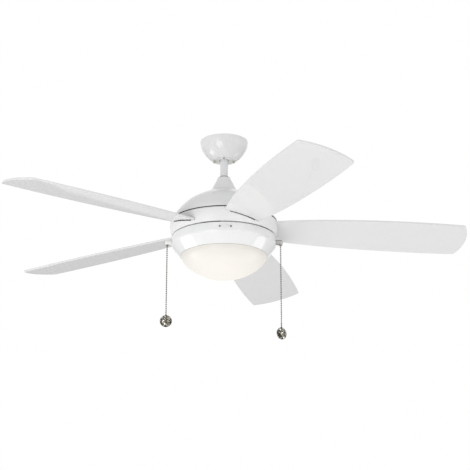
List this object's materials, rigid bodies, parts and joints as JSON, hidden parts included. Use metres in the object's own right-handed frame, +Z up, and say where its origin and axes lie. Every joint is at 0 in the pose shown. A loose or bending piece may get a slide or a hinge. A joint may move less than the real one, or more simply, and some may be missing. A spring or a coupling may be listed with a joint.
{
  "type": "ceiling fan with light",
  "caption": "White ceiling fan on a short rod: pitched paddle blades in a turning band under a domed motor housing, opal bowl light below, two bead pull chains with crystal fobs.",
  "frame": {"origin": "centre of the ceiling plane, midway between the bracket's two screw slots", "axes": "+Z up into the ceiling, +X towards the light's pull chain, -Y towards the reverse switch"},
  "size_m": [1.2406, 1.2709, 0.5598],
  "materials": {
    "white_paint": "gloss white enamel",
    "nickel": "bright nickel plate",
    "white_plastic": "moulded gloss white",
    "blade_white": "satin white laminate on board",
    "opal_glass": "opal glass, satin, lit from inside",
    "crystal": "clear cut crystal",
    "lamp_glass": "frosted lamp glass",
    "porcelain": "glazed white holder",
    "zinc_steel": "zinc plated steel",
    "tan_screw": "antique nickel, tan cast",
    "tan_rubber": "soft tan rubber",
    "cast_metal": "die cast",
    "lamination": "stacked sheet steel",
    "copper": "enamelled copper wire",
    "black_plastic": "moulded black"
  },
  "bodies": {
    "ceiling_mount": {"hanger_bracket": "zinc_steel", "canopy": "white_paint", "canopy_screws": "tan_screw"},
    "fan_frame": {"hanger_ball": "white_plastic", "downrod": "white_paint", "ball_pin": "zinc_steel", "set_screws": "zinc_steel", "motor_yoke": "cast_metal", "yoke_pin": "zinc_steel", "coupling_cover": "white_paint", "cover_grommet": "tan_rubber", "upper_housing": "white_paint", "housing_screws": "zinc_steel", "motor_shaft": "zinc_steel", "stator_core": "lamination", "stator_windings": "copper", "bearing_inner_races": "zinc_steel", "mounting_plate": "zinc_steel", "shaft_nut": "zinc_steel", "light_fitter": "white_paint", "fitter_screws": "zinc_steel", "glass_bowl": "opal_glass", "glass_snap_ring": "zinc_steel", "rim_gasket": "tan_rubber", "lamp_bracket": "zinc_steel", "lampholders": "porcelain", "lamp_bulbs": "lamp_glass", "capacitor": "black_plastic", "fan_pull_switch": "black_plastic", "light_pull_switch": "black_plastic", "fan_chain_guide": "white_paint", "light_chain_guide": "nickel", "guide_bushes": "tan_screw", "reverse_switch_body": "black_plastic", "reverse_switch_screws": "tan_screw"},
    "rotor": {"bearing_outer_races": "zinc_steel", "bearing_balls": "zinc_steel", "rotor_upper_shell": "cast_metal", "rotor_lower_shell": "cast_metal", "rotor_cage": "lamination", "rotor_screws": "zinc_steel", "blade_band": "white_plastic", "holder_screws": "zinc_steel", "blade_screws": "zinc_steel", "blade_1": "blade_white", "blade_2": "blade_white", "blade_3": "blade_white", "blade_4": "blade_white", "blade_5": "blade_white", "blade_holder_1": "cast_metal", "blade_holder_2": "cast_metal", "blade_holder_3": "cast_metal", "blade_holder_4": "cast_metal", "blade_holder_5": "cast_metal"},
    "fan_pull": {"fan_pull_chain": "nickel", "fan_fob": "crystal"},
    "light_pull": {"light_pull_chain": "nickel", "light_fob": "crystal"},
    "reverse_knob": {"reverse_slider": "white_plastic"}
  },
  "joints": [
    {"name": "hang_tilt", "type": "hinge", "parent": "ceiling_mount", "child": "fan_frame", "pos_m": [0, 0, -0.0276], "axis": [1, 0, 0], "range_deg": [-5, 5]},
    {"name": "rotor_spin", "type": "hinge", "parent": "fan_frame", "child": "rotor", "pos_m": [0, 0, -0.2116], "axis": [0, 0, 1], "continuous": true},
    {"name": "fan_chain_pull", "type": "slide", "parent": "fan_frame", "child": "fan_pull", "axis": [0, 0, -1], "range_m": [0, 0.01], "stiffness_N_per_m": 800, "springref_m": -0.002},
    {"name": "light_chain_pull", "type": "slide", "parent": "fan_frame", "child": "light_pull", "axis": [0, 0, -1], "range_m": [0, 0.01], "stiffness_N_per_m": 800, "springref_m": -0.002},
    {"name": "reverse_slide", "type": "slide", "parent": "fan_frame", "child": "reverse_knob", "axis": [0.9994, 0.0349, 0], "range_m": [-0.003, 0.003]}
  ]
}
